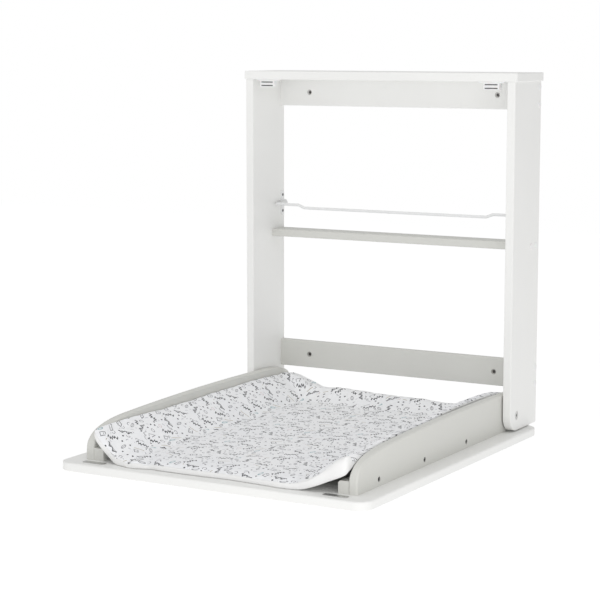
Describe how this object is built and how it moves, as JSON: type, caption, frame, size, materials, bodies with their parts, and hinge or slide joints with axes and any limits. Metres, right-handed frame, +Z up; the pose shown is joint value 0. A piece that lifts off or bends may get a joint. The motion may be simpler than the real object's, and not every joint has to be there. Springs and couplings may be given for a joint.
{
  "type": "changing table",
  "caption": "Wall-mounted changing table: a shallow open frame with a shelf and a guard wire, and a padded changing board that folds up against it.",
  "frame": {"origin": "middle of the four wall-fixing holes, on the wall plane", "axes": "X across the frame, +Y into the wall, +Z up; the changing board is open and level"},
  "size_m": [0.678, 0.808, 0.761],
  "materials": {
    "white_lacquer": "satin white lacquer on fibreboard",
    "grey_lacquer": "satin warm grey lacquer on fibreboard",
    "white_coated_steel": "white powder coat",
    "zinc_plated_steel": "bright zinc plating",
    "dark_steel": "dark passivated steel",
    "white_plastic": "moulded white plastic",
    "ferrite_magnet": "bare ferrite",
    "beech_dowel": "bare beech",
    "nylon": "natural nylon",
    "felt": "pressed felt",
    "mat_cover": "wipe-clean printed cover over foam"
  },
  "bodies": {
    "frame": {"top_panel": "white_lacquer", "left_side_panel": "white_lacquer", "right_side_panel": "white_lacquer", "upper_back_rail": "white_lacquer", "lower_back_rail": "grey_lacquer", "shelf": "grey_lacquer", "left_frame_screws": "zinc_plated_steel", "right_frame_screws": "zinc_plated_steel", "left_screw_caps": "white_plastic", "right_screw_caps": "white_plastic", "frame_dowels": "beech_dowel", "left_guard_bracket": "white_coated_steel", "right_guard_bracket": "white_coated_steel", "guard_bracket_screws": "dark_steel", "guard_wire": "white_coated_steel", "left_catch_housing": "white_plastic", "right_catch_housing": "white_plastic", "catch_magnets": "ferrite_magnet", "catch_pole_plates": "zinc_plated_steel", "catch_screws": "dark_steel", "left_pivot_bolt": "zinc_plated_steel", "right_pivot_bolt": "zinc_plated_steel", "left_pivot_cap_nut": "zinc_plated_steel", "right_pivot_cap_nut": "zinc_plated_steel", "pivot_spacers": "nylon", "stop_pads": "felt"},
    "board": {"changing_board": "white_lacquer", "left_side_rail": "grey_lacquer", "right_side_rail": "grey_lacquer", "left_cleat": "grey_lacquer", "right_cleat": "grey_lacquer", "side_rail_screws": "dark_steel", "cleat_screws": "dark_steel", "left_pivot_bush": "nylon", "right_pivot_bush": "nylon", "left_strike_plate": "zinc_plated_steel", "right_strike_plate": "zinc_plated_steel", "strike_plate_screws": "zinc_plated_steel", "changing_mat": "mat_cover"}
  },
  "joints": [
    {"name": "board_fold", "type": "hinge", "parent": "frame", "child": "board", "pos_m": [0, -0.103, -0.366], "axis": [-1, 0, 0], "range_deg": [0, 90]}
  ]
}
